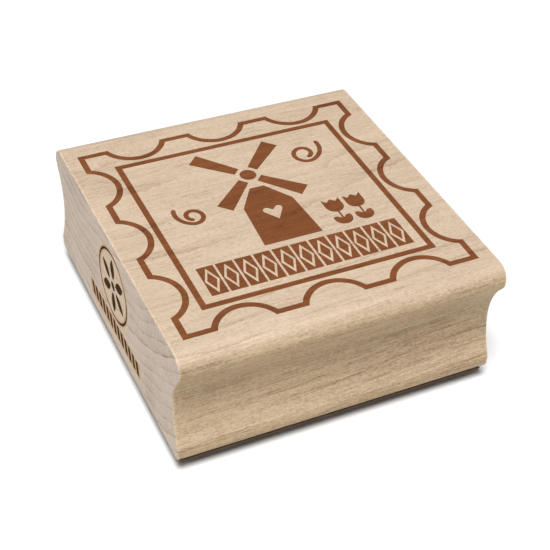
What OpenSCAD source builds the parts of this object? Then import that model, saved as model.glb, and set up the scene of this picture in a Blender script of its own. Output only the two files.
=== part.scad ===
// Wood-mounted rubber stamp: a maple moulding block with a finger groove along its two
// long sides, a foam cushion and a laser-cut rubber die under it, a burnt index picture on
// top and a burnt mark on its left end.
//
// X runs along the moulding, from the marked end to the plain end.
// Y runs from the front groove to the back groove, which is up in the index picture.
// Z is up. The origin is under the middle of the block, on the printing face of the die.

/* [Wood block] */
// Length of the block along its grain, end to end
block_w = 63.5; // [61:0.5:80]
// Height of the wood
block_h = 24.8; // [24.4:0.1:28]
// Half depth over the rounded top edge
nose_half = 33.4; // [33:0.1:35]
// Radius of the rounded top edge
nose_r = 3; // [2.4:0.1:3.2]
// Half depth at the narrowest place of the groove
waist_half = 30.06; // [29.6:0.02:30.3]
// How far the narrowest place lies below the top
waist_drop = 12.4; // [11.6:0.1:13]
// Half depth at the foot
foot_half = 32.6; // [32.2:0.1:32.9]
// Radius where the groove rolls out into the foot
foot_roll_r = 1.8; // [1.4:0.1:2]
// Height of that roll's middle above the bottom of the wood
foot_roll_up = 2.4; // [2.2:0.1:2.8]
// Radius of the eased bottom edge
foot_edge_r = 1.2; // [0.6:0.1:1.4]

/* [Cushion and die] */
// Length of the cushion and the die, along X
die_w = 62.3; // [59:0.1:63]
// Depth of the cushion and the die, along Y
die_d = 62; // [58:0.1:62.4]
// How far the cushion and the die sit right of the block's middle, along X
die_x = 0.5; // [-0.5:0.1:0.5]
// Thickness of each adhesive film
film_t = 0.1; // [0.05:0.05:0.2]
// Thickness of the foam cushion
foam_t = 1.5; // [1:0.1:3.2]
// Thickness of the rubber behind the raised picture
rubber_t = 0.6; // [0.5:0.1:1.5]
// Height of the raised picture
relief_t = 0.9; // [0.6:0.1:1.2]

/* [Picture] */
// How far the picture sits right of the block's middle, along X
picture_x = -0.2; // [-0.5:0.1:0.5]
// How far the picture sits behind the block's middle, along Y
picture_y = -0.3; // [-0.5:0.1:0.5]
// Length of the perforated frame over its outer edges, along X
stamp_w = 57.6; // [57:0.1:58]
// Depth of the perforated frame over its outer edges, along Y
stamp_d = 56.1; // [55.5:0.1:56.5]
// Opening of each scallop along the edge
scallop_w = 10.85; // [10.4:0.05:11.2]
// Depth of each scallop
scallop_deep = 3.85; // [3.5:0.05:3.9]
// Line width of both frames
line_w = 1.2; // [0.9:0.02:1.2]
// Length of the inner frame over its outer edges, along X
inner_w = 46.2; // [46:0.1:46.4]
// Depth of the inner frame over its outer edges, along Y
inner_d = 44.8; // [44.6:0.1:44.9]
// How deep the picture is burnt into the wood
burn_deep = 0.2; // [0.1:0.05:0.4]
// Thickness of the brown layer at the bottom of each burnt mark
char_t = 0.15; // [0.05:0.05:0.15]

/* [End mark] */
// Outer radius of the burnt ring on the left end
ring_r = 7.7; // [7:0.1:8]
// Height of its middle above the bottom of the wood
ring_up = 14.7; // [14.6:0.1:15.2]
// Length of the row of dashes below it
dash_row_w = 27.6; // [24:0.2:29]
// Number of dashes in that row
dash_count = 13; // [9:2:15]

/* [Hidden] */
$fn = 64;
over = 1;

// Heights of the layers, from the printing face up
rubber_z = relief_t;
die_film_z = rubber_z + rubber_t;
foam_z = die_film_z + film_t;
block_film_z = foam_z + foam_t;
block_z = block_film_z + film_t;
top_z = block_z + block_h;

// The moulding's outline is four tangent arcs, in heights above the bottom of the wood
nose_c = [nose_half - nose_r, block_h - nose_r];
roll_c = [foot_half - foot_roll_r, foot_roll_up];
waist_z = block_h - waist_drop;
upper_cove_r = cove_radius(nose_c, nose_r);
lower_cove_r = cove_radius(roll_c, foot_roll_r);
upper_cove_c = [waist_half + upper_cove_r, waist_z];
lower_cove_c = [waist_half + lower_cove_r, waist_z];
nose_meet = meeting_point(nose_c, nose_r, upper_cove_c, upper_cove_r);
roll_meet = meeting_point(roll_c, foot_roll_r, lower_cove_c, lower_cove_r);

// Scallops are parts of circles whose middles lie a little outside the frame's edge
scallop_r = (scallop_w * scallop_w / 4 + scallop_deep * scallop_deep) / (2 * scallop_deep);
scallop_out = scallop_r - scallop_deep;

// Windmill
hub_at = [0.05, 10.65];
hub_r = 1.65;
sail_from = 2.35;
sail_to = 11.75;
sail_in_w = 2.05;
sail_out_w = 3.35;
tower_top_y = 6.45;
tower_top_half = 1.45;
tower_shoulder_y = 1.0;
tower_shoulder_half = 5.1;
tower_base_y = -10.4;
tower_base_half = 5.9;
heart_at = [0, -1];
heart_half = 1.95;
heart_lobe_r = 0.72;
heart_tip = [0, -3.1];
heart_notch = [0, -0.15];

// Tulips
tulip_x = [11.25, 15.7];
tulip_top_y = -2.1;
cup_r = 1.85;
cup_h = 4.1;
cup_notch = 0.9;
stem_w = 0.4;
leaf_top_y = -7.5;
leaf_cut = 0.75;
leaf_notch = 0.8;
leaf_notch_half = 2.2;

// Curls: the middle of the round turn, and the radii of the tail, of the turn and of the eye
large_curl_at = [13.5, 12.9];
large_curl_r = [5, 2.3, 1.65];
large_tail_angle = 73;
small_curl_at = [-14.85, 2.15];
small_curl_r = [3.8, 1.95, 1.35];
small_tail_angle = 85;
curl_line = 0.95;
curl_end_r = 0.43;
curl_turn = -65;

// Border of tiles under the windmill
tile_count = 11;
tile_row_w = 40.6;
tile_h = 7.8;
tile_gap = 0.42;
tile_mid_y = -15.75;

tile_w = tile_row_w / tile_count - tile_gap;
lozenge_line = 0.42;

// End mark
ring_line = 0.55;
petal_count = 6;
petal_from = 1.5;
petal_to = 6.3;
petal_side_r = 3.1;
eye_r = 1;
dash_h = 3.2;
dash_up = 4.6;
dash_slant = 0.9;
dash_fill = 0.72;

// Radius of a groove arc that has its deepest point at the waist and touches a round edge
function cove_radius(edge_c, edge_r) =
    let (inset = waist_half - edge_c[0], rise = waist_z - edge_c[1])
    (inset * inset + rise * rise - edge_r * edge_r) / (2 * (edge_r - inset));

// Distance between the middles of neighbouring scallops along a side
function scallop_pitch(side) = scallop_w + (side - 3 * scallop_w) / 4;

// Point where two touching arcs meet
function meeting_point(c1, r1, c2, r2) = c1 + (c2 - c1) * r1 / (r1 + r2);

// Level band of the moulding's outline: X is the distance from the middle, Y the height
module band(half, from, to) {
    translate([-half, from]) square([2 * half, to - from]);
}

// The same circle on both sides of the outline
module both_circles(centre, r) {
    for (side = [-1, 1]) translate([side * centre[0], centre[1]]) circle(r);
}

// End-on outline of the moulding: a core, and one band for each arc
module outline() {
    band(waist_half - over, 0, block_h);
    intersection() {
        band(nose_half + over, nose_meet[1], block_h);
        union() {
            band(nose_c[0], nose_meet[1], block_h);
            both_circles(nose_c, nose_r);
        }
    }
    difference() {
        band(nose_meet[0], waist_z, nose_meet[1]);
        both_circles(upper_cove_c, upper_cove_r);
    }
    difference() {
        band(roll_meet[0], roll_meet[1], waist_z);
        both_circles(lower_cove_c, lower_cove_r);
    }
    intersection() {
        band(foot_half + over, 0, roll_meet[1]);
        union() {
            band(foot_half - foot_edge_r, 0, roll_meet[1]);
            band(foot_half, foot_edge_r, foot_roll_up);
            both_circles([foot_half - foot_edge_r, foot_edge_r], foot_edge_r);
            both_circles(roll_c, foot_roll_r);
        }
    }
}

// Edge of the perforated frame, drawn in by a distance all round
module perforated_shape(inset) {
    difference() {
        square([stamp_w - 2 * inset, stamp_d - 2 * inset], center = true);
        for (side = [-1, 1], step = [-1, 0, 1]) {
            translate([step * scallop_pitch(stamp_w), side * (stamp_d / 2 + scallop_out)])
                circle(scallop_r + inset);
            translate([side * (stamp_w / 2 + scallop_out), step * scallop_pitch(stamp_d)])
                circle(scallop_r + inset);
        }
    }
}

module perforated_frame() {
    difference() {
        perforated_shape(0);
        perforated_shape(line_w);
    }
}

module inner_frame() {
    difference() {
        square([inner_w, inner_d], center = true);
        square([inner_w - 2 * line_w, inner_d - 2 * line_w], center = true);
    }
}

// Sails are numbered from the upper right one, counter-clockwise
module sail(number) {
    translate(hub_at) rotate(90 * number - 45) polygon([
        [sail_from, -sail_in_w / 2], [sail_to, -sail_out_w / 2],
        [sail_to, sail_out_w / 2], [sail_from, sail_in_w / 2]]);
}

module hub() {
    translate(hub_at) circle(hub_r);
}

// Corner just inside a circle round c, where a line from p would touch it on one side
function near_touch(p, c, r, side) =
    let (v = c - p, far = sqrt(v * v), inner = 0.97 * r)
    let (turn = atan2(v[1], v[0]) + side * asin(inner / far))
    p + sqrt(far * far - inner * inner) * [cos(turn), sin(turn)];

// Heart with the middles of its lobes on the X axis
module heart() {
    lobe = [heart_half - heart_lobe_r, 0];
    low = near_touch(heart_tip, lobe, heart_lobe_r, -1);
    high = near_touch(heart_notch, lobe, heart_lobe_r, 1);
    polygon([
        heart_tip, low, high, heart_notch,
        [-high[0], high[1]], [-low[0], low[1]]]);
    for (side = [-1, 1]) translate(side * lobe) circle(heart_lobe_r);
}

module tower() {
    difference() {
        polygon([
            [-tower_base_half, tower_base_y], [tower_base_half, tower_base_y],
            [tower_shoulder_half, tower_shoulder_y], [tower_top_half, tower_top_y],
            [-tower_top_half, tower_top_y], [-tower_shoulder_half, tower_shoulder_y]]);
        translate(heart_at) heart();
    }
}

// Round bowl cut off level at a height above its middle
module bowl(r, cut) {
    intersection() {
        circle(r);
        translate([-r - over, -r - over]) square([2 * (r + over), r + over + cut]);
    }
}

// Tulip: a three-pointed cup, a stem and a notched half-moon of leaves
module tulip(x) {
    cup_y = tulip_top_y - cup_h + cup_r;
    leaf_y = leaf_top_y - leaf_cut;
    translate([x, 0]) {
        translate([0, cup_y]) bowl(cup_r, 0);
        polygon([
            [-cup_r, cup_y], [cup_r, cup_y], [cup_r, tulip_top_y],
            [cup_r / 2, tulip_top_y - cup_notch], [0, tulip_top_y - 0.1],
            [-cup_r / 2, tulip_top_y - cup_notch], [-cup_r, tulip_top_y]]);
        translate([-stem_w / 2, leaf_y - cup_r / 2]) square([stem_w, cup_y - leaf_y]);
        difference() {
            translate([0, leaf_y]) bowl(cup_r, leaf_cut);
            polygon([
                [-leaf_notch_half, leaf_top_y + over], [0, leaf_top_y - leaf_notch],
                [leaf_notch_half, leaf_top_y + over]]);
        }
    }
}

// Part of a ring that lies above the X axis
module upper_half_ring(r) {
    intersection() {
        difference() {
            circle(r + curl_line / 2);
            circle(r - curl_line / 2);
        }
        translate([-r - curl_line, 0]) square([2 * (r + curl_line), r + curl_line]);
    }
}

// Part of a ring from the X axis up to an angle under 90 degrees, with a round end
module curl_tail(r, angle) {
    reach = 2 * (r + curl_line);
    intersection() {
        upper_half_ring(r);
        polygon([[0, 0], [reach, 0], [reach, reach / 2], [reach * cos(angle), reach * sin(angle)]]);
    }
    rotate(angle) translate([r, 0]) circle(curl_end_r);
}

// Curl of a tail and two half turns, each touching the last on the X axis, then turned as a whole
module curl(r, tail_angle) {
    rotate(curl_turn) {
        translate([r[1] - r[0], 0]) curl_tail(r[0], tail_angle);
        mirror([0, 1]) upper_half_ring(r[1]);
        translate([r[2] - r[1], 0]) {
            upper_half_ring(r[2]);
            translate([r[2], 0]) circle(curl_end_r);
        }
    }
}

module curl_large() {
    translate(large_curl_at) curl(large_curl_r, large_tail_angle);
}

module curl_small() {
    translate(small_curl_at) mirror([1, 0]) curl(small_curl_r, small_tail_angle);
}

module lozenge(w, h) {
    polygon([[-w / 2, 0], [0, -h / 2], [w / 2, 0], [0, h / 2]]);
}

// Row of tiles, each with a light lozenge line in it
module border_tiles() {
    outer_w = tile_w - 0.5;
    outer_h = tile_h - 1;
    steep = sqrt(outer_w * outer_w + outer_h * outer_h) / outer_h;
    inner_w_tile = outer_w - 2 * lozenge_line * steep;
    for (i = [0 : tile_count - 1])
        translate([(i - (tile_count - 1) / 2) * tile_row_w / tile_count, tile_mid_y]) {
            difference() {
                square([tile_w, tile_h], center = true);
                lozenge(outer_w, outer_h);
            }
            lozenge(inner_w_tile, inner_w_tile * outer_h / outer_w);
        }
}

// The whole picture, as it is seen on top
module picture() {
    translate([picture_x, picture_y]) {
        perforated_frame();
        inner_frame();
        for (number = [1 : 4]) sail(number);
        hub();
        tower();
        for (x = tulip_x) tulip(x);
        curl_large();
        curl_small();
        border_tiles();
    }
}

// Petal between two arcs, pointing along +X
module petal() {
    half = (petal_to - petal_from) / 2;
    sink = sqrt(petal_side_r * petal_side_r - half * half);
    intersection_for(side = [-1, 1])
        translate([petal_from + half, side * sink]) circle(petal_side_r);
}

module rosette() {
    translate([0, ring_up]) {
        circle(eye_r);
        for (i = [0 : petal_count - 1]) rotate(360 * i / petal_count + 90) petal();
    }
}

module ring() {
    translate([0, ring_up]) difference() {
        circle(ring_r);
        circle(ring_r - ring_line);
    }
}

// Row of slanted dashes, like a twisted cord
module dashes() {
    pitch = (dash_row_w - dash_slant) / dash_count;
    half = pitch * dash_fill / 2;
    for (i = [0 : dash_count - 1])
        translate([(i - (dash_count - 1) / 2) * pitch, dash_up]) polygon([
            [-half - dash_slant / 2, -dash_h / 2], [half - dash_slant / 2, -dash_h / 2],
            [half + dash_slant / 2, dash_h / 2], [-half + dash_slant / 2, dash_h / 2]]);
}

// Stand a flat shape on the left end face, with its thickness going into the wood
module on_left_end(sunk, thickness) {
    translate([sunk - block_w / 2, 0, block_z]) rotate([90, 0, 90])
        linear_extrude(thickness) children();
}

// Brown layer at the bottom of a burnt mark on top
module top_mark() {
    color("sienna") translate([picture_x, picture_y, top_z - burn_deep])
        linear_extrude(char_t) children();
}

// Dark layer at the bottom of a burnt mark on the left end
module end_mark() {
    color([0.24, 0.17, 0.12]) on_left_end(burn_deep - char_t, char_t) children();
}

module wood_block() {
    color("burlywood") difference() {
        translate([-block_w / 2, 0, block_z]) rotate([90, 0, 90])
            linear_extrude(block_w) outline();
        translate([0, 0, top_z - burn_deep]) linear_extrude(burn_deep + over) picture();
        on_left_end(-over, burn_deep + over) {
            ring();
            rosette();
            dashes();
        }
    }
}

module sheet_under(z, thickness) {
    translate([die_x - die_w / 2, -die_d / 2, z]) cube([die_w, die_d, thickness]);
}

module block_film() {
    color("wheat") sheet_under(block_film_z, film_t);
}

module cushion() {
    color("dimgray") sheet_under(foam_z, foam_t);
}

module die_film() {
    color("wheat") sheet_under(die_film_z, film_t);
}

module rubber_die() {
    color([0.42, 0.27, 0.22]) union() {
        sheet_under(rubber_z, rubber_t);
        linear_extrude(rubber_z + rubber_t / 2) picture();
    }
}

wood_block();
block_film();
cushion();
die_film();
rubber_die();
top_mark() perforated_frame();  // index_perforated_frame
top_mark() inner_frame();  // index_inner_frame
top_mark() sail(1);  // index_sail_1
top_mark() sail(2);  // index_sail_2
top_mark() sail(3);  // index_sail_3
top_mark() sail(4);  // index_sail_4
top_mark() hub();  // index_hub
top_mark() tower();  // index_tower
top_mark() tulip(tulip_x[0]);  // index_tulip_left
top_mark() tulip(tulip_x[1]);  // index_tulip_right
top_mark() curl_large();  // index_curl_large
top_mark() curl_small();  // index_curl_small
top_mark() border_tiles();  // index_border_tiles
end_mark() ring();  // end_ring
end_mark() rosette();  // end_rosette
end_mark() dashes();  // end_dashes
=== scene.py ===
"""Looks of the wood-mounted rubber stamp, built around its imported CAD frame.

Lengths are worked out in millimetres in the row frame and turned into metres where a mesh is made.
"""
import math

import bmesh
import bpy
from mathutils import Matrix, Vector, noise


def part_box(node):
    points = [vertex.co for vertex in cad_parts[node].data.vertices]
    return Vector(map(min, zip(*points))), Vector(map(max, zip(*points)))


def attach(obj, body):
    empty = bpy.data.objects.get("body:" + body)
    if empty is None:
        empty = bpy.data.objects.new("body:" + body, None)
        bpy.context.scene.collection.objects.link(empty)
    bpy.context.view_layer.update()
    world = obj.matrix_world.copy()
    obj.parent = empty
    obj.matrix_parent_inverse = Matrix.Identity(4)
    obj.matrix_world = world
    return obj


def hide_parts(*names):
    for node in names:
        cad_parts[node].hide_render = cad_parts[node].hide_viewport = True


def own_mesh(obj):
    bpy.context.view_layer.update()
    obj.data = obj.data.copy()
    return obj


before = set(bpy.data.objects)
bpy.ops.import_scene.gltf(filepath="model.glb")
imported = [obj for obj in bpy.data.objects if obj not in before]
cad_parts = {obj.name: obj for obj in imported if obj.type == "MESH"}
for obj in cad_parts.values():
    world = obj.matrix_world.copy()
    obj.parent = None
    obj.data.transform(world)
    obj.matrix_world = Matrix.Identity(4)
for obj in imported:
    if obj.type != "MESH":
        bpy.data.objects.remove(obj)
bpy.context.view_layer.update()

MM = 0.001
PICTURE_NODES = [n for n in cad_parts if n.startswith("index_")]
END_NODES = [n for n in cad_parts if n.startswith("end_")]


def node_box(node):
    """Lowest and highest corner of a CAD node, in millimetres."""
    low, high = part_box(node)
    return low / MM, high / MM


block_low, block_high = node_box("wood_block")
foam_low, foam_high = node_box("cushion")
die_low, die_high = node_box("rubber_die")
ring_low, ring_high = node_box("end_ring")
dash_low, dash_high = node_box("end_dashes")

# Moulding outline, as in the CAD model: radii, half depths, the waist's drop below the top of the
# wood and the roll's height above its bottom
NOSE_R = 3.0
WAIST_HALF = 30.06
WAIST_DROP = 12.4
FOOT_HALF = 32.6
FOOT_ROLL_R = 1.8
FOOT_ROLL_UP = 2.4
FOOT_EDGE_R = 1.2

# Length of the steps that arcs are drawn with, and of the flat beside the first and the last arc
ARC_STEP = 0.3
FLAT_RUN = 0.5

# Eased edge round the ends of the wood: its radius and the angles of its steps
END_EDGE_R = 0.22
END_EDGE_ANGLES = (90, 60, 30, 0)

# Width of the ring line burnt into the left end
RING_LINE = 0.55

# Growth rings: where the tree's middle lay above the block, the width of a ring, how far rings
# wander and ripple, and how much of a ring's end is dark (higher is less)
PITH_Y = 24.0
PITH_Z = 105.0
RING_PITCH = 2.6
RING_WANDER = 8.0
RING_RIPPLE = 1.1
LATE_POWER = 10.0

# Degrees that the grain runs off the length of the block
GRAIN_RISE = 1.6
GRAIN_DRIFT = -1.2

# Waves of the rays that run out from the tree's middle: per radian round it, and per millimetre out
RAYS_ROUND = 420.0
RAYS_OUT = 0.35

# Raised picture, as high as in the CAD model: it ends in the printing face, the die's lowest plane.
# Its sides spread outwards a little up to the step, and by the whole spread up to the root inside the
# sheet. The mitre limit keeps sharp corners from running far out
PRINTING_Z = die_low.z
RELIEF_STEP = 0.25
RELIEF_SPREAD = 0.11
STEP_SHARE = 0.2
RELIEF_HEIGHT = 0.9
RELIEF_ROOT = 0.2
RUBBER_BASE_Z = PRINTING_Z + RELIEF_HEIGHT
MITRE_LIMIT = 0.5

# A knife cut through a sheet: steps along it, and waves of its wander per millimetre
CUT_STEP = 0.5
CUT_WAVES_ALONG = 0.9
CUT_WAVES_UP = 1.4

# Corners nearer than this are one corner, faces this near a plane lie in it, and an edge shorter than
# this has no direction
JOIN_DISTANCE = 0.0005
FLAT_TOLERANCE = 0.001
NO_LENGTH = 1e-9

# Edges that turn by less than this, in radians, are one straight line
STRAIGHT_ANGLE = 0.001

# How far a cutter sticks out of the wood
CUTTER_REACH = 1


# ---------------------------------------------------------------- shader helpers


class Shader:
    """A material's node tree, with short calls for the nodes that are used here."""

    def __init__(self, name):
        self.material = bpy.data.materials.new(name)
        self.material.use_nodes = True
        self.tree = self.material.node_tree
        self.tree.nodes.clear()
        self.surface = self.add("ShaderNodeBsdfPrincipled")
        output = self.add("ShaderNodeOutputMaterial")
        self.tree.links.new(self.surface.outputs[0], output.inputs["Surface"])

    def add(self, kind, inputs=(), **settings):
        made = self.tree.nodes.new(kind)
        for key, value in settings.items():
            setattr(made, key, value)
        for key, value in dict(inputs).items():
            self.feed(made.inputs[key], value)
        return made

    def feed(self, socket, value):
        if isinstance(value, bpy.types.NodeSocket):
            self.tree.links.new(value, socket)
        else:
            socket.default_value = value

    def math(self, operation, *values, clamp=False):
        made = self.add("ShaderNodeMath", enumerate(values), operation=operation, use_clamp=clamp)
        return made.outputs[0]

    def vector(self, operation, a, b=None, scale=None):
        made = self.add("ShaderNodeVectorMath", {0: a}, operation=operation)
        if b is not None:
            self.feed(made.inputs[1], b)
        if scale is not None:
            self.feed(made.inputs["Scale"], scale)
        return made

    def stretch(self, coords, along, across):
        """Coordinates for noise with so many waves per millimetre along the grain and across it."""
        return self.vector("MULTIPLY", coords, (along, across, across)).outputs[0]

    def noise(self, coords, scale=1.0, detail=2.0, rough=0.5):
        inputs = {"Vector": coords, "Scale": scale, "Detail": detail, "Roughness": rough}
        return self.add("ShaderNodeTexNoise", inputs).outputs[0]

    def cells(self, coords, scale=1.0):
        return self.add("ShaderNodeTexVoronoi", {"Vector": coords, "Scale": scale})

    def ramp(self, value, low, high, out_low=0.0, out_high=1.0):
        inputs = {"Value": value, "From Min": low, "From Max": high, "To Min": out_low, "To Max": out_high}
        return self.add("ShaderNodeMapRange", inputs, interpolation_type="SMOOTHSTEP").outputs[0]

    def mix(self, share, a, b):
        """Color a mixed with color b; a share of 1 is all b."""
        made = self.add("ShaderNodeMix", data_type="RGBA")
        self.feed(made.inputs[0], share)
        self.feed(made.inputs[6], a)
        self.feed(made.inputs[7], b)
        return made.outputs[2]

    def coords(self):
        """Place in the row frame, in millimetres."""
        place = self.add("ShaderNodeTexCoord").outputs["Object"]
        return self.vector("SCALE", place, scale=1 / MM).outputs[0]

    def split(self, vector):
        return self.add("ShaderNodeSeparateXYZ", {0: vector}).outputs

    def length(self, a, b):
        """Length of the flat vector (a, b)."""
        squares = self.math("ADD", self.math("MULTIPLY", a, a), self.math("MULTIPLY", b, b))
        return self.math("SQRT", squares)

    def bump(self, height, depth):
        """Normal of a surface whose height of 1 stands for a depth in millimetres."""
        return self.add("ShaderNodeBump", {"Height": height, "Distance": depth * MM}).outputs[0]

    def finish(self, color, rough, normal=None, **fixed):
        self.feed(self.surface.inputs["Base Color"], color)
        self.feed(self.surface.inputs["Roughness"], rough)
        if normal is not None:
            self.feed(self.surface.inputs["Normal"], normal)
        for key, value in fixed.items():
            self.surface.inputs[key.replace("_", " ")].default_value = value
        return self.material


def rgb(r, g, b):
    return (r, g, b, 1.0)


# ---------------------------------------------------------------- wood

# Clean maple, from its darker to its paler patches: sanded top, moulded sides and sawn ends. The moulded
# sides' darker, browner tone is partly their own and partly painted shade
TOP_WOOD = (rgb(0.590, 0.468, 0.340), rgb(0.625, 0.502, 0.375))
SHADED_SIDE_WOOD = (rgb(0.492, 0.362, 0.205), rgb(0.528, 0.397, 0.236))
END_WOOD = (rgb(0.520, 0.422, 0.338), rgb(0.560, 0.460, 0.375))

# The darkest grain on the faces and on the ends, wood toasted by the laser, and the painted highlight along
# the end edges
DEEP_GRAIN = rgb(0.22, 0.125, 0.065)
DEEP_END_GRAIN = rgb(0.22, 0.155, 0.105)
TOASTED_RIM = rgb(0.31, 0.135, 0.038)
TOASTED_GLOW = rgb(0.64, 0.44, 0.23)
EDGE_HIGHLIGHT_WOOD = rgb(0.72, 0.60, 0.46)

# How far from the ends of the block the faces get a painted highlight, none at the first distance and full
# at the second, and how strongly
EDGE_HIGHLIGHT_WIDTH = (0.55, 0.1)
EDGE_HIGHLIGHT_SHARE = 0.45

# How dark the wood is before its grain: on the sides, on the ends, and where it is burnt
SIDE_DARKNESS = 0.26
END_DARKNESS = 0.16
BURNT_DARKNESS = 0.42

# Strength of the fine and the coarse grain on the moulded sides, and how much less it is on the top
FINE_ON_SIDES = 1.8
FINE_LESS_ON_TOP = 1.15
COARSE_ON_SIDES = 1.2
COARSE_LESS_ON_TOP = 0.7


def growth_rings(s, along):
    """Sockets for the yearly rings: late wood, place in the ring, a chance value for each year, rays."""
    x, y, z = s.split(along)
    wander = s.noise(s.stretch(along, 0.014, 0.045), detail=2.0)
    ripple = s.noise(s.stretch(along, 0.16, 0.4), detail=4.0, rough=0.6)
    across = s.math("SUBTRACT", y, PITH_Y)
    down = s.math("SUBTRACT", z, PITH_Z)
    radius = s.math("MULTIPLY_ADD", wander, RING_WANDER, s.length(across, down))
    radius = s.math("MULTIPLY_ADD", ripple, RING_RIPPLE, radius)
    phase = s.math("DIVIDE", radius, RING_PITCH)
    ring = s.math("FRACT", phase)
    year = s.add("ShaderNodeTexWhiteNoise", {"W": s.math("FLOOR", phase)}, noise_dimensions="1D").outputs[0]
    late = s.math("MULTIPLY", s.math("POWER", ring, LATE_POWER), s.math("MULTIPLY_ADD", year, 0.8, 0.2))
    turn = s.math("MULTIPLY", s.math("ARCTAN2", across, down), RAYS_ROUND)
    outwards = s.math("MULTIPLY", radius, RAYS_OUT)
    ray = s.noise(s.add("ShaderNodeCombineXYZ", {0: turn, 1: outwards}).outputs[0], detail=2.0)
    return {"late": late, "ring": ring, "year": year, "ray": ray}


def open_pores(s, along):
    """Short dark pores: a third of the cells of a long, narrow pattern have one."""
    cells = s.cells(s.stretch(along, 0.75, 5.0))
    has_pore = s.math("GREATER_THAN", s.split(cells.outputs["Color"])[0], 0.66)
    return s.math("MULTIPLY", s.ramp(cells.outputs["Distance"], 0.34, 0.06), has_pore)


def wood_grain(s):
    """Sockets that describe the piece of maple at each point, the same for bare and for burnt wood."""
    place = s.coords()
    turn = (0.0, math.radians(GRAIN_RISE), math.radians(GRAIN_DRIFT))
    along = s.add("ShaderNodeMapping", {"Vector": place, "Rotation": turn}).outputs[0]
    grain = growth_rings(s, along)
    fading = s.ramp(s.noise(s.stretch(along, 0.05, 0.25), detail=2.0), 0.35, 0.65, 0.25, 1.0)
    long_line = thin_lines(s, s.stretch(along, 0.014, 0.8), half_width=0.009)
    short_line = thin_lines(s, s.stretch(along, 0.05, 2.2), half_width=0.008)
    lines = s.math("MAXIMUM", long_line, s.math("MULTIPLY", short_line, 0.8))
    facing = s.split(s.add("ShaderNodeTexCoord").outputs["Normal"])
    grain.update({
        "place": place,
        "late": s.math("MULTIPLY", grain["late"], fading),
        "lines": s.math("MULTIPLY", lines, fading),
        "fibre": s.noise(s.stretch(along, 0.13, 4.0), detail=4.0, rough=0.65),
        "grit": s.noise(s.stretch(along, 1.5, 5.0), detail=3.0, rough=0.7),
        "streak": s.noise(s.stretch(along, 0.02, 0.8), detail=4.0, rough=0.6),
        "cloud": s.noise(s.stretch(along, 0.04, 0.09), detail=2.0),
        "figure": s.noise(s.stretch(along, 0.55, 0.35), detail=2.0),
        "pore": open_pores(s, along),
        "end": s.ramp(s.math("ABSOLUTE", facing[0]), 0.55, 0.95),
        # Facing up: the sanded top, which also takes the lit top tone, while the faces turned away from it
        # take the painted shade of the sides
        "sanded_and_lit": s.ramp(facing[2], -0.1, 1.0),
    })
    return grain


def thin_lines(s, coords, half_width):
    """Thin lines where a long, narrow noise passes through its middle value.

    The half width is how far from that value a line still shows.
    """
    value = s.noise(coords, detail=3.0, rough=0.55)
    return s.ramp(s.math("ABSOLUTE", s.math("SUBTRACT", value, 0.5)), half_width, 0.0)


def weigh(s, base, parts):
    """Sum of grain sockets, each less its own middle and times its own weight."""
    total = base
    for socket, middle, weight in parts:
        total = s.math("MULTIPLY_ADD", s.math("SUBTRACT", socket, middle), weight, total)
    return total


def darkness(s, grain):
    """How dark the grain makes the wood, about 0 to 1, on its sides and on its ends."""
    fine = weigh(s, 0.0, [(grain["fibre"], 0.5, 0.8), (grain["grit"], 0.5, 1.3), (grain["pore"], 0.0, 0.3)])
    fine_strength = s.math("MULTIPLY_ADD", grain["sanded_and_lit"], -FINE_LESS_ON_TOP, FINE_ON_SIDES)
    fine = s.math("MULTIPLY", fine, fine_strength)
    coarse = weigh(s, 0.0, [
        (grain["late"], 0.0, 0.9), (grain["lines"], 0.0, 0.8), (grain["streak"], 0.5, 0.5),
        (grain["cloud"], 0.5, 0.5), (grain["figure"], 0.5, 0.2)])
    coarse_strength = s.math("MULTIPLY_ADD", grain["sanded_and_lit"], -COARSE_LESS_ON_TOP, COARSE_ON_SIDES)
    coarse = s.math("MULTIPLY", coarse, coarse_strength)
    side = s.math("ADD", s.math("ADD", fine, coarse), SIDE_DARKNESS)
    end = weigh(s, END_DARKNESS, [
        (grain["late"], 0.0, 1.3), (grain["ring"], 0.5, 0.2), (grain["year"], 0.5, 0.2),
        (grain["fibre"], 0.5, 1.5), (grain["grit"], 0.5, 2.0), (grain["ray"], 0.5, -1.1),
        (grain["cloud"], 0.5, 0.9)])
    return s.add("ShaderNodeMix", {0: grain["end"], 2: side, 3: end}, data_type="FLOAT").outputs[0]


# How far the laser's heat reached from a mark, in millimetres: nothing at the first, all at the second
RING_RIM = (0.9, 0.2)
DASH_RIM = (0.7, 0.0)
RING_GLOW = (1.8, 0.2)
DASH_GLOW = (1.7, 0.0)
HEATED_DEPTH = 0.3

# Strength of the glow, of the toasted rim, and of the glow over the whole inside of the ring
GLOW_SHARE = 0.65
RIM_SHARE = 0.7
INSIDE_RING_SHARE = 0.75


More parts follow.
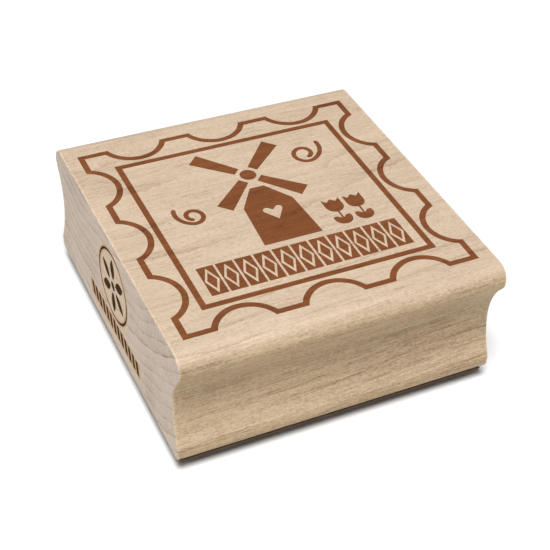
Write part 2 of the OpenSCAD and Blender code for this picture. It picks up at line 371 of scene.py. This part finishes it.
def scorch(s, place):
    """Where the laser warmed the left end: a narrow toasted rim, and a wider golden glow."""
    x, y, z = s.split(place)
    middle = (ring_low + ring_high) / 2
    radius = (ring_high.y - ring_low.y) / 2
    from_middle = s.length(s.math("SUBTRACT", y, middle.y), s.math("SUBTRACT", z, middle.z))
    from_ring = s.math("ABSOLUTE", s.math("SUBTRACT", from_middle, radius - RING_LINE / 2))
    inside = s.ramp(from_middle, radius, radius - 1.0, 0.0, INSIDE_RING_SHARE)
    dash_middle = (dash_low + dash_high) / 2
    dash_half = (dash_high - dash_low) / 2
    beside = s.math("SUBTRACT", s.math("ABSOLUTE", s.math("SUBTRACT", y, dash_middle.y)), dash_half.y)
    above = s.math("SUBTRACT", s.math("ABSOLUTE", s.math("SUBTRACT", z, dash_middle.z)), dash_half.z)
    from_dashes = s.length(s.math("MAXIMUM", beside, 0.0), s.math("MAXIMUM", above, 0.0))
    patchy = s.ramp(s.noise(place, scale=0.45, detail=2.0), 0.25, 0.7, 0.55, 1.0)
    on_left_end = s.math("MULTIPLY", patchy, s.math("LESS_THAN", x, block_low.x + HEATED_DEPTH))
    rim = s.math("MAXIMUM", s.ramp(from_ring, *RING_RIM), s.ramp(from_dashes, *DASH_RIM))
    glow = s.math("MAXIMUM", s.ramp(from_ring, *RING_GLOW), s.ramp(from_dashes, *DASH_GLOW))
    glow = s.math("MAXIMUM", glow, inside)
    return s.math("MULTIPLY", rim, on_left_end), s.math("MULTIPLY", glow, on_left_end)


def painted_edge_highlight(s, grain):
    """Painted highlight: the long faces paler in ragged patches beside the sawn ends."""
    x = s.math("ABSOLUTE", s.split(grain["place"])[0])
    outer, inner = (block_high.x - width for width in EDGE_HIGHLIGHT_WIDTH)
    beside_end = s.math("MULTIPLY", s.ramp(x, outer, inner), s.math("SUBTRACT", 1.0, grain["end"]))
    ragged = s.ramp(s.noise(grain["place"], scale=1.6, detail=2.0), 0.35, 0.6)
    return s.math("MULTIPLY", beside_end, ragged)


def maple():
    """Bare maple: grain, pores, toasted wood round the end marks, painted shade on the moulded sides and a
    painted highlight along the end edges.
    """
    s = Shader("maple")
    grain = wood_grain(s)
    dark = darkness(s, grain)
    top = s.mix(grain["cloud"], *TOP_WOOD)
    moulded_shaded = s.mix(grain["cloud"], *SHADED_SIDE_WOOD)
    end = s.mix(grain["cloud"], *END_WOOD)
    # Painted shade: faces turned away from the top take the darker side tone, partly the wood's own tone
    # and partly shade
    side = s.mix(grain["sanded_and_lit"], moulded_shaded, top)
    clean = s.mix(grain["end"], side, end)
    deep = s.mix(grain["end"], DEEP_GRAIN, DEEP_END_GRAIN)
    color = s.mix(s.math("MAXIMUM", dark, 0.0, clamp=True), clean, deep)
    rim, glow = scorch(s, grain["place"])
    color = s.mix(s.math("MULTIPLY", glow, GLOW_SHARE), color, TOASTED_GLOW)
    color = s.mix(s.math("MULTIPLY", rim, RIM_SHARE), color, TOASTED_RIM)

    # Painted highlight: a paler band on the long faces beside the end edges
    edge_highlight = s.math("MULTIPLY", painted_edge_highlight(s, grain), EDGE_HIGHLIGHT_SHARE)
    color = s.mix(edge_highlight, color, EDGE_HIGHLIGHT_WOOD)

    rough = s.ramp(grain["fibre"], 0.2, 0.8, 0.5, 0.68)
    height = weigh(s, 0.0, [
        (grain["fibre"], 0.5, 1.0), (grain["grit"], 0.5, 0.6),
        (grain["pore"], 0.0, -0.8), (grain["lines"], 0.0, -0.3)])
    return s.finish(color, rough, s.bump(height, 0.05), IOR=1.42)


# Burnt wood: the brown picture on top and the nearly black mark on the end, and how much the
# roughness of the char varies
PICTURE_BURN = {
    "pale": rgb(0.224, 0.078, 0.026), "deep": rgb(0.110, 0.032, 0.010), "roughness": 0.72, "shine": 0.2}
END_BURN = {
    "pale": rgb(0.075, 0.030, 0.010), "deep": rgb(0.022, 0.010, 0.004), "roughness": 0.88, "shine": 0.05}
CHAR_VARIATION = 0.08


def burnt(name, pale, deep, roughness, shine):
    """Wood browned or charred by a laser: the grain of the block still shows through."""
    s = Shader(name)
    grain = wood_grain(s)
    dark = weigh(s, BURNT_DARKNESS, [
        (grain["late"], 0.0, 0.6), (grain["lines"], 0.0, 0.5), (grain["pore"], 0.0, 0.25),
        (grain["fibre"], 0.5, 0.8), (grain["grit"], 0.5, 0.8), (grain["streak"], 0.5, 1.1)])
    color = s.mix(s.math("MAXIMUM", dark, 0.0, clamp=True), pale, deep)
    char = s.noise(grain["place"], scale=9.0, detail=2.0)
    rough = s.ramp(char, 0.3, 0.7, roughness - CHAR_VARIATION, roughness + CHAR_VARIATION)
    height = weigh(s, 0.0, [(char, 0.5, 0.6), (grain["fibre"], 0.5, 1.0), (grain["lines"], 0.0, -0.4)])
    return s.finish(color, rough, s.bump(height, 0.06), IOR=1.4, Specular_IOR_Level=shine)


# ---------------------------------------------------------------- rubber, foam, film

# Two tones each of rubber, foam and adhesive, with what lies on or in them, and the painted shade in the
# foam's open cells
RUBBER = (rgb(0.128, 0.076, 0.038), rgb(0.086, 0.050, 0.025))
RUBBER_DUST = rgb(0.20, 0.14, 0.10)
FOAM = (rgb(0.070, 0.044, 0.026), rgb(0.100, 0.066, 0.042))
SHADE_IN_OPEN_CELL = rgb(0.026, 0.016, 0.010)
ADHESIVE = (rgb(0.150, 0.100, 0.052), rgb(0.108, 0.072, 0.036))
LINT = rgb(0.06, 0.04, 0.025)

# Distance between the lines that the laser leaves, and heights above the printing face where they fade in
LASER_PITCH = 0.16
LASER_FADE = (0.08, 0.2)


def rubber():
    """Laser-cut rubber: smooth on the raised picture, finely lined where the laser took rubber away."""
    s = Shader("die_rubber")
    place = s.coords()
    x, y, z = s.split(place)
    cut = s.ramp(z, PRINTING_Z + LASER_FADE[0], PRINTING_Z + LASER_FADE[1])
    speck = s.noise(place, scale=2.2, detail=4.0, rough=0.65)
    dust = s.ramp(s.noise(place, scale=0.22, detail=4.0), 0.42, 0.72)
    color = s.mix(speck, *RUBBER)
    color = s.mix(s.math("MULTIPLY", cut, s.math("MULTIPLY", dust, 0.3)), color, RUBBER_DUST)
    lines = s.math("SINE", s.math("MULTIPLY", y, 2 * math.pi / LASER_PITCH))
    height = s.math("MULTIPLY", s.math("MULTIPLY", lines, cut), 0.5)
    height = s.math("MULTIPLY_ADD", speck, 0.8, height)
    rough = s.math("MULTIPLY_ADD", cut, 0.2, s.ramp(speck, 0.3, 0.7, 0.42, 0.56))
    return s.finish(color, rough, s.bump(height, 0.02), IOR=1.5, Specular_IOR_Level=0.25)


def foam():
    """Closed-cell foam: small bubbles, cut open along the sides, with painted shade in the open cells'
    pits.
    """
    s = Shader("foam")
    place = s.coords()
    bubbles = s.cells(place, scale=4.5)
    cell_pit_and_shade = s.ramp(bubbles.outputs["Distance"], 0.45, 0.15)
    size = s.split(bubbles.outputs["Color"])[0]
    tone = s.noise(place, scale=0.5, detail=3.0)
    color = s.mix(tone, *FOAM)
    # Painted shade: the open cells darker where they dip in
    color = s.mix(s.math("MULTIPLY", cell_pit_and_shade, 0.6), color, SHADE_IN_OPEN_CELL)
    height = s.math("MULTIPLY", cell_pit_and_shade, s.math("MULTIPLY_ADD", size, -0.8, -0.2))
    rough = s.ramp(tone, 0.3, 0.7, 0.78, 0.9)
    return s.finish(color, rough, s.bump(height, 0.1), IOR=1.4)


def film():
    """Double-sided adhesive sheet, seen on its edge, with a little lint stuck to it."""
    s = Shader("adhesive")
    place = s.coords()
    lint = s.ramp(s.noise(place, scale=1.8, detail=4.0, rough=0.7), 0.5, 0.66)
    haze = s.noise(place, scale=0.35, detail=2.0)
    color = s.mix(haze, *ADHESIVE)
    color = s.mix(s.math("MULTIPLY", lint, 0.5), color, LINT)
    rough = s.ramp(haze, 0.3, 0.7, 0.35, 0.55)
    return s.finish(color, rough, s.bump(lint, 0.02), IOR=1.47)


# ---------------------------------------------------------------- mesh helpers

# The weighted normals follow the largest face almost wholly
FACE_AREA_WEIGHT = 100


def make_object(name, bm, material, smooth_angle=None):
    """An object from a bmesh in millimetres. The bmesh is used up."""
    bmesh.ops.scale(bm, vec=(MM, MM, MM), verts=bm.verts)
    bmesh.ops.recalc_face_normals(bm, faces=bm.faces)
    mesh = bpy.data.meshes.new(name)
    bm.to_mesh(mesh)
    bm.free()
    made = bpy.data.objects.new(name, mesh)
    bpy.context.scene.collection.objects.link(made)
    mesh.materials.append(material)
    if smooth_angle is not None:
        shade_round(mesh, smooth_angle)
    return made


def shade_round(mesh, angle):
    """Smooth shading, with edges that turn by more than the angle, in degrees, kept sharp."""
    mesh.shade_smooth()
    mesh.set_sharp_from_angle(angle=math.radians(angle))


def apply_modifiers(made):
    """Bakes an object's modifiers into its mesh."""
    bpy.context.view_layer.update()
    evaluated = made.evaluated_get(bpy.context.evaluated_depsgraph_get())
    mesh = bpy.data.meshes.new_from_object(evaluated)
    made.modifiers.clear()
    made.data = mesh


def carve(made, cutter):
    """Takes the cutter's shape out of an object, and removes the cutter."""
    modifier = made.modifiers.new("carve", "BOOLEAN")
    modifier.object = cutter
    modifier.operation = "DIFFERENCE"
    modifier.solver = "EXACT"
    apply_modifiers(made)
    bpy.data.objects.remove(cutter)


def keep_flats_flat(made):
    """Normals that follow the large faces, so that flats stay flat beside the rounded edges."""
    modifier = made.modifiers.new("normals", "WEIGHTED_NORMAL")
    modifier.keep_sharp = True
    modifier.weight = FACE_AREA_WEIGHT
    apply_modifiers(made)


def loft(bm, loops):
    """Walls between closed loops of points, with a flat face over the first and the last."""
    rings = [[bm.verts.new(p) for p in loop] for loop in loops]
    count = len(rings[0])
    for a, b in zip(rings, rings[1:]):
        for i in range(count):
            j = (i + 1) % count
            bm.faces.new((a[i], a[j], b[j], b[i]))
    bm.faces.new(list(reversed(rings[0])))
    bm.faces.new(rings[-1])


def cad_copy(node):
    """The CAD node's mesh in a new bmesh, in millimetres, with its split corners joined."""
    bm = bmesh.new()
    bm.from_mesh(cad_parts[node].data)
    bmesh.ops.scale(bm, vec=(1 / MM, 1 / MM, 1 / MM), verts=bm.verts)
    bmesh.ops.remove_doubles(bm, verts=bm.verts, dist=JOIN_DISTANCE)
    return bm


# ---------------------------------------------------------------- wood block


def arc(centre, radius, start, end, hollow=False):
    """Points and outward directions along an arc; hollow means that the wood lies outside the circle."""
    steps = max(2, math.ceil(abs(math.radians(end - start)) * radius / ARC_STEP))
    points = []
    for i in range(steps + 1):
        a = math.radians(start + (end - start) * i / steps)
        out = Vector((math.cos(a), math.sin(a)))
        points.append((Vector(centre) + out * radius, -out if hollow else out))
    return points


def cove_radius(centre, radius, waist_z):
    """Radius of a groove arc that is deepest at the waist and touches a round edge."""
    inset = WAIST_HALF - centre[0]
    rise = waist_z - centre[1]
    return (inset * inset + rise * rise - radius * radius) / (2 * (radius - inset))


def one_side_outline():
    """One side of the moulding from the top down: (distance from the middle, height) and direction out."""
    height = block_high.z - block_low.z
    nose = (block_high.y - NOSE_R, height - NOSE_R)
    roll = (FOOT_HALF - FOOT_ROLL_R, FOOT_ROLL_UP)
    foot = (FOOT_HALF - FOOT_EDGE_R, FOOT_EDGE_R)
    waist_z = height - WAIST_DROP
    upper_r = cove_radius(nose, NOSE_R, waist_z)
    lower_r = cove_radius(roll, FOOT_ROLL_R, waist_z)
    upper = (WAIST_HALF + upper_r, waist_z)
    lower = (WAIST_HALF + lower_r, waist_z)
    nose_turn = math.degrees(math.atan2(upper[1] - nose[1], upper[0] - nose[0]))
    roll_turn = math.degrees(math.atan2(lower[1] - roll[1], lower[0] - roll[0]))
    points = [(Vector((nose[0] - FLAT_RUN, height)), Vector((0, 1)))]
    points += arc(nose, NOSE_R, 90, nose_turn)
    points += arc(upper, upper_r, 180 + nose_turn, 180, hollow=True)[1:]
    points += arc(lower, lower_r, 180, 180 + roll_turn, hollow=True)[1:]
    points += arc(roll, FOOT_ROLL_R, roll_turn, 0)[1:]
    points += arc(foot, FOOT_EDGE_R, 0, -90)
    points.append((Vector((foot[0] - FLAT_RUN, 0)), Vector((0, -1))))
    return points


def moulding_mesh():
    """The moulding with its end edges eased."""
    right = one_side_outline()
    left = [(Vector((-p.x, p.y)), Vector((-n.x, n.y))) for p, n in reversed(right)]
    stations = []
    for degrees in END_EDGE_ANGLES:
        turn = math.radians(degrees)
        x = block_low.x + END_EDGE_R - END_EDGE_R * math.sin(turn)
        stations.append((x, END_EDGE_R * (1 - math.cos(turn))))
    stations += [(-x, inset) for x, inset in reversed(stations)]
    loops = []
    for x, inset in stations:
        inner = [p - n * inset for p, n in right + left]
        loops.append([Vector((x, q.x, q.y + block_low.z)) for q in inner])
    bm = bmesh.new()
    loft(bm, loops)
    return bm


def mark_cutter(node):
    """What the laser took away for a mark: the mark's own shape, continued out of the wood."""
    bm = cad_copy(node)
    low, high = node_box(node)
    on_top = node in PICTURE_NODES
    for v in bm.verts:
        if on_top and v.co.z > (low.z + high.z) / 2:
            v.co.z = block_high.z + CUTTER_REACH
        if not on_top and v.co.x < (low.x + high.x) / 2:
            v.co.x = block_low.x - CUTTER_REACH
    return bm


def marks_cutter():
    """The cutters of all the marks, in one bmesh."""
    cutter = bmesh.new()
    for node in PICTURE_NODES + END_NODES:
        part = mark_cutter(node)
        mesh = bpy.data.meshes.new("part")
        part.to_mesh(mesh)
        part.free()
        cutter.from_mesh(mesh)
        bpy.data.meshes.remove(mesh)
    return cutter


def build_block(material):
    """The maple block, with a pocket for every burnt mark."""
    block = make_object("block_wood", moulding_mesh(), material)
    carve(block, make_object("cutter", marks_cutter(), material))
    shade_round(block.data, angle=35)
    keep_flats_flat(block)
    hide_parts("wood_block")
    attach(block, "mount")


# ---------------------------------------------------------------- cushion and die


def sheet_outline(low, high, corner):
    """Points and outward directions round a rectangle with round corners."""
    corners = []
    for cx, cy, start in ((1, 1, 0), (-1, 1, 90), (-1, -1, 180), (1, -1, 270)):
        centre = Vector((
            (high.x - corner) if cx > 0 else (low.x + corner),
            (high.y - corner) if cy > 0 else (low.y + corner)))
        corners.append(arc(centre, corner, start, start + 90))
    outline = []
    for i, turn in enumerate(corners):
        outline += turn
        a, b = turn[-1][0], corners[(i + 1) % 4][0][0]
        count = max(1, round((b - a).length / CUT_STEP))
        outline += [(a.lerp(b, k / count), turn[-1][1]) for k in range(1, count)]
    return outline


def cut_sheet_loops(low, high, levels, waviness, corner, seed):
    """Loops round a sheet that was cut with a knife: the cut wanders inwards a little.

    Each level is a share of the sheet's height and how far the side draws in there.
    """
    outline = sheet_outline(low, high, corner)
    loops = []
    for level, drawn_in in levels:
        z = low.z + (high.z - low.z) * level
        loop = []
        for p, n in outline:
            place = Vector((p.x * CUT_WAVES_ALONG, p.y * CUT_WAVES_ALONG, z * CUT_WAVES_UP + seed))
            inset = drawn_in + waviness * (0.5 + 0.5 * noise.noise(place))
            q = p - n * inset
            loop.append(Vector((q.x, q.y, z)))
        loops.append(loop)
    return loops


def build_cushion(material):
    """Foam pad: held out by the films above and below, sucked in a little between them."""
    levels = [(0.0, 0.0), (0.12, 0.06), (0.35, 0.12), (0.65, 0.12), (0.88, 0.06), (1.0, 0.0)]
    bm = bmesh.new()
    loft(bm, cut_sheet_loops(foam_low, foam_high, levels, waviness=0.14, corner=0.4, seed=3.0))
    pad = make_object("cushion_foam", bm, material, smooth_angle=50)
    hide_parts("cushion")
    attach(pad, "mount")
    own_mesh(pad)


def outward_offsets(bm):
    """For each corner of flat faces, the sideways step that moves their border out by one unit."""
    offsets = {}
    for v in bm.verts:
        sides = []
        for e in v.link_edges:
            if len(e.link_faces) != 1:
                continue
            face = e.link_faces[0]
            along = (e.other_vert(v).co - v.co).xy
            if along.length < NO_LENGTH:
                continue
            out = Vector((-along.y, along.x)).normalized()
            inward = (face.calc_center_median() - v.co).xy
            if out.dot(inward) > 0:
                out = -out
            sides.append(out)
        if len(sides) < 2:
            offsets[v] = Vector((0, 0))
            continue
        total = sides[0] + sides[1]
        reach = 1 + sides[0].dot(sides[1])
        offsets[v] = total / max(reach, MITRE_LIMIT)
    return offsets


def printing_faces():
    """The raised picture's flat faces, taken from the CAD die."""
    bm = cad_copy("rubber_die")
    flat = {f for f in bm.faces if all(abs(v.co.z - PRINTING_Z) < FLAT_TOLERANCE for v in f.verts)}
    bmesh.ops.delete(bm, geom=[f for f in bm.faces if f not in flat], context="FACES")
    bmesh.ops.dissolve_limit(bm, angle_limit=STRAIGHT_ANGLE, verts=bm.verts, edges=bm.edges)
    return bm


def add_relief(bm):
    """The raised picture: straight sides near its face, spreading into a shoulder rooted in the sheet."""
    faces = printing_faces()
    offsets = outward_offsets(faces)
    steps = [
        (PRINTING_Z, 0.0), (PRINTING_Z + RELIEF_STEP, RELIEF_SPREAD * STEP_SHARE),
        (RUBBER_BASE_Z + RELIEF_ROOT, RELIEF_SPREAD)]
    layers = []
    for z, spread in steps:
        layers.append({
            v.index: bm.verts.new((v.co.x + offsets[v].x * spread, v.co.y + offsets[v].y * spread, z))
            for v in faces.verts})
    for f in faces.faces:
        bm.faces.new([layers[0][v.index] for v in f.verts])
        bm.faces.new([layers[-1][v.index] for v in reversed(f.verts)])
    for e in faces.edges:
        if len(e.link_faces) == 1:
            a, b = (v.index for v in e.verts)
            for lower, upper in zip(layers, layers[1:]):
                bm.faces.new((lower[a], lower[b], upper[b], upper[a]))
    faces.free()


def build_die(material):
    """The rubber: a sheet and the raised picture, closed shells that overlap in one mesh."""
    sheet_low = Vector((die_low.x, die_low.y, RUBBER_BASE_Z))
    levels = [(0.0, 0.03), (0.05, 0.0), (0.95, 0.0), (1.0, 0.02)]
    bm = bmesh.new()
    loft(bm, cut_sheet_loops(sheet_low, die_high, levels, waviness=0.05, corner=0.35, seed=11.0))
    add_relief(bm)
    die = make_object("die_rubber_relief", bm, material, smooth_angle=28)
    keep_flats_flat(die)
    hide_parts("rubber_die")
    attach(die, "die")


# ---------------------------------------------------------------- stage

# The photo's camera: lens and sensor in millimetres, angles in degrees, and its place in millimetres
# from the middle of the top face
LENS = 83.51
SENSOR_WIDTH = 36.0
CAMERA_PLACE = (-85.635, -171.689, 145.767)
CAMERA_AZIMUTH = 26.972
CAMERA_ELEVATION = 40.363
CAMERA_ROLL = 3.34

# Nearest and farthest thing that the camera sees, in metres
CLIP_RANGE = (0.01, 20.0)

# Floor and sky: a pale matte plane, 3 m to each side, under a plain white sky
FLOOR_HALF = 3000
FLOOR_TONE = rgb(0.8, 0.8, 0.8)
FLOOR_ROUGHNESS = 0.8
SKY_STRENGTH = 0.26


def point_camera(cam, place, azimuth, elevation, roll):
    """Aims a camera; azimuth 0 looks along +Y and grows towards +X, all angles in degrees."""
    a, e = math.radians(azimuth), math.radians(elevation)
    forward = Vector((math.sin(a) * math.cos(e), math.cos(a) * math.cos(e), -math.sin(e)))
    level = Vector((math.cos(a), -math.sin(a), 0))
    up = level.cross(forward)
    turn = math.radians(roll)
    right = level * math.cos(turn) + up * math.sin(turn)
    up = up * math.cos(turn) - level * math.sin(turn)
    cam.matrix_world = Matrix.Translation(place) @ Matrix((right, up, -forward)).transposed().to_4x4()


def make_camera():
    data = bpy.data.cameras.new("camera")
    data.sensor_width = SENSOR_WIDTH
    data.lens = LENS
    data.clip_start, data.clip_end = CLIP_RANGE
    cam = bpy.data.objects.new("camera", data)
    bpy.context.scene.collection.objects.link(cam)
    x, y, above_top = CAMERA_PLACE
    place = Vector((x, y, block_high.z + above_top)) * MM
    point_camera(cam, place, CAMERA_AZIMUTH, CAMERA_ELEVATION, CAMERA_ROLL)
    bpy.context.scene.camera = cam


def area_light(name, place, target, size, power, color=(1, 1, 1)):
    """A round soft light; place, target and size are in metres."""
    data = bpy.data.lights.new(name, "AREA")
    data.shape = "DISK"
    data.size = size
    data.energy = power
    data.color = color
    lamp = bpy.data.objects.new(name, data)
    bpy.context.scene.collection.objects.link(lamp)
    lamp.location = place
    lamp.rotation_euler = (Vector(target) - Vector(place)).to_track_quat("-Z", "Y").to_euler()


def make_floor():
    bm = bmesh.new()
    bmesh.ops.create_grid(bm, x_segments=1, y_segments=1, size=FLOOR_HALF)
    s = Shader("floor")
    make_object("floor", bm, s.finish(FLOOR_TONE, FLOOR_ROUGHNESS))


def make_lighting():
    world = bpy.data.worlds.new("world")
    world.use_nodes = True
    background = world.node_tree.nodes["Background"]
    background.inputs["Color"].default_value = rgb(1, 1, 1)
    background.inputs["Strength"].default_value = SKY_STRENGTH
    bpy.context.scene.world = world
    area_light("top_softbox", place=(-0.26, -0.44, 1.5), target=(0, 0, 0.02), size=0.62, power=31.0)
    area_light(
        "left_fill", place=(-0.32, -0.06, 0.13), target=(0, 0, 0.012), size=0.14, power=0.14,
        color=(1.0, 0.96, 0.90))
    bpy.context.scene.view_settings.view_transform = "Standard"


# ---------------------------------------------------------------- assembly

make_camera()
make_floor()
make_lighting()

build_block(maple())
build_cushion(foam())
build_die(rubber())

picture_burn = burnt("picture_burn", **PICTURE_BURN)
end_burn = burnt("end_burn", **END_BURN)
adhesive = film()
finishes = {n: picture_burn for n in PICTURE_NODES}
finishes.update({n: end_burn for n in END_NODES})
finishes.update({"block_film": adhesive, "die_film": adhesive})
for node, material in finishes.items():
    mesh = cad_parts[node].data
    mesh.materials.clear()
    mesh.materials.append(material)
